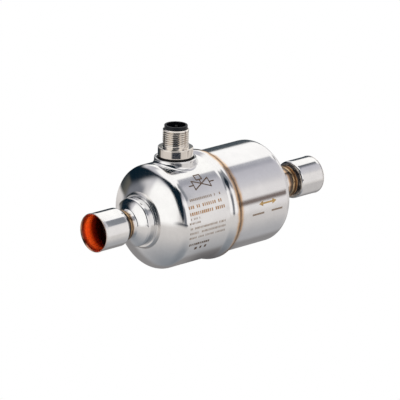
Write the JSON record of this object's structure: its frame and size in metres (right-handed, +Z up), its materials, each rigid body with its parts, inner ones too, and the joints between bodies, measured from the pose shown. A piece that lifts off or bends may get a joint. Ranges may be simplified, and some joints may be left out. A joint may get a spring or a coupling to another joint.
{
  "type": "electric regulating valve",
  "caption": "Inline welded steel regulating valve with copper-lined solder sockets, a round threaded cable connector and a motor-driven balanced piston inside.",
  "frame": {"origin": "centre of the inlet socket's mouth, on the pipe line", "axes": "+X along the pipe line from the inlet to the outlet, +Z up along the cable connector"},
  "size_m": [0.1396, 0.0518, 0.0676],
  "materials": {
    "shell_steel": "polished drawn stainless steel",
    "collar_steel": "turned stainless steel",
    "socket_steel": "polished stainless steel",
    "weld_bead": "heat-tinted weld",
    "seam_bead": "faintly tinted weld",
    "socket_copper": "bare copper",
    "connector_metal": "nickel plated",
    "connector_plastic": "black moulded",
    "contact_gold": "gold plated",
    "ring_rubber": "matt",
    "seal_glass": "fused",
    "lead_film": "flat cable",
    "motor_steel": "drawn sheet",
    "pole_steel": "zinc plated sheet",
    "bobbin_plastic": "moulded",
    "winding_copper": "enamelled wire",
    "magnet": "sintered",
    "hub_aluminium": "turned",
    "spindle_steel": "ground",
    "bronze": "turned",
    "bearing_steel": "ground",
    "cage_plastic": "moulded",
    "valve_steel": "turned",
    "seat_plastic": "turned"
  },
  "bodies": {
    "housing": {"front_shell": "shell_steel", "rear_shell": "shell_steel", "inlet_adapter": "collar_steel", "outlet_adapter": "collar_steel", "inlet_socket": "socket_steel", "outlet_socket": "socket_steel", "girth_weld": "weld_bead", "inlet_seam_weld": "seam_bead", "outlet_seam_weld": "seam_bead", "inlet_neck_weld": "seam_bead", "outlet_neck_weld": "seam_bead", "inlet_liner": "socket_copper", "outlet_liner": "socket_copper", "connector_shell": "connector_metal", "connector_insert": "connector_plastic", "pin_plug": "connector_plastic", "terminal_block": "connector_plastic", "contact_pins": "contact_gold", "connector_o_ring": "ring_rubber", "glass_seal": "seal_glass", "lead_ribbon": "lead_film", "motor_can": "motor_steel", "front_spider": "motor_steel", "front_stator_cup": "pole_steel", "front_stator_plate": "pole_steel", "rear_stator_cup": "pole_steel", "rear_stator_plate": "pole_steel", "front_bobbin": "bobbin_plastic", "rear_bobbin": "bobbin_plastic", "front_winding": "winding_copper", "rear_winding": "winding_copper", "motor_flange": "hub_aluminium", "guide_rods": "spindle_steel", "motor_screws": "spindle_steel", "front_bush": "bronze", "bearing_outer_ring": "bearing_steel", "port_sleeve": "valve_steel", "seat_ring": "seat_plastic"},
    "rotor": {"rotor_magnet": "magnet", "rotor_hub": "hub_aluminium", "spindle": "spindle_steel", "bearing_inner_ring": "bearing_steel"},
    "piston": {"piston": "valve_steel", "piston_seal": "seat_plastic", "spindle_nut": "bronze"},
    "ball_cage": {"bearing_balls": "bearing_steel", "bearing_cage": "cage_plastic"}
  },
  "joints": [
    {"name": "rotor_spin", "type": "hinge", "parent": "housing", "child": "rotor", "pos_m": [0.0502, 0, 0], "axis": [1, 0, 0], "range_deg": [0, 3960]},
    {"name": "piston_slide", "type": "slide", "parent": "housing", "child": "piston", "axis": [-1, 0, 0], "range_m": [0, 0.011]},
    {"name": "ball_orbit", "type": "hinge", "parent": "housing", "child": "ball_cage", "pos_m": [0.0639, 0, 0], "axis": [1, 0, 0], "range_deg": [0, 1624]}
  ],
  "couplings": [
    {"joint": "piston_slide", "follows": "rotor_spin", "m_per_rad": 0.00015915},
    {"joint": "ball_orbit", "follows": "rotor_spin", "ratio": 0.41}
  ]
}
